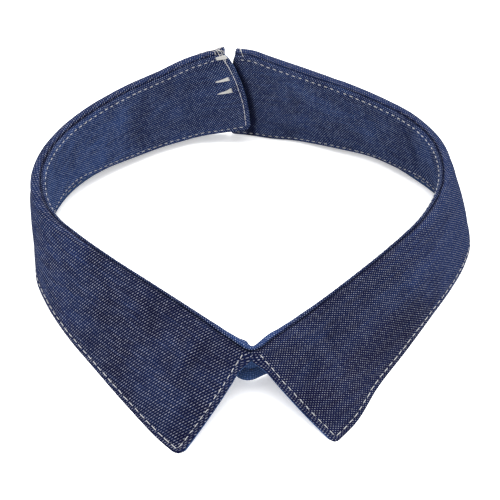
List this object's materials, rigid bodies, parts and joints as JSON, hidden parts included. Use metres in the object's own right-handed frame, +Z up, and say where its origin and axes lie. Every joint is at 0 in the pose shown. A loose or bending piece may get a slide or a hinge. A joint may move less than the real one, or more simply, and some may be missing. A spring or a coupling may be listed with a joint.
{
  "type": "detachable shirt collar",
  "caption": "Pointed shirt collar of navy chambray without its shirt: a closed ring of stand with two leaves that fall outwards to points at the front, lapped at the back.",
  "frame": {"origin": "on the level that the hems rest on, under the middle of the collar's length and width", "axes": "+Z up, the wearer's head above; +Y to the closed centre back, so the two points are at -Y; +X to the right in the picture"},
  "size_m": [0.1459, 0.1685, 0.0388],
  "materials": {
    "band_inner_cloth": "matt plain weave",
    "band_outer_cloth": "matt plain weave",
    "left_leaf_upper_cloth": "matt plain weave",
    "left_leaf_under_cloth": "matt plain weave",
    "right_leaf_upper_cloth": "matt plain weave",
    "right_leaf_under_cloth": "matt plain weave"
  },
  "bodies": {
    "root": {"band_inner": "band_inner_cloth", "band_outer": "band_outer_cloth", "left_leaf_upper": "left_leaf_upper_cloth", "left_leaf_under": "left_leaf_under_cloth", "right_leaf_upper": "right_leaf_upper_cloth", "right_leaf_under": "right_leaf_under_cloth"}
  },
  "joints": []
}
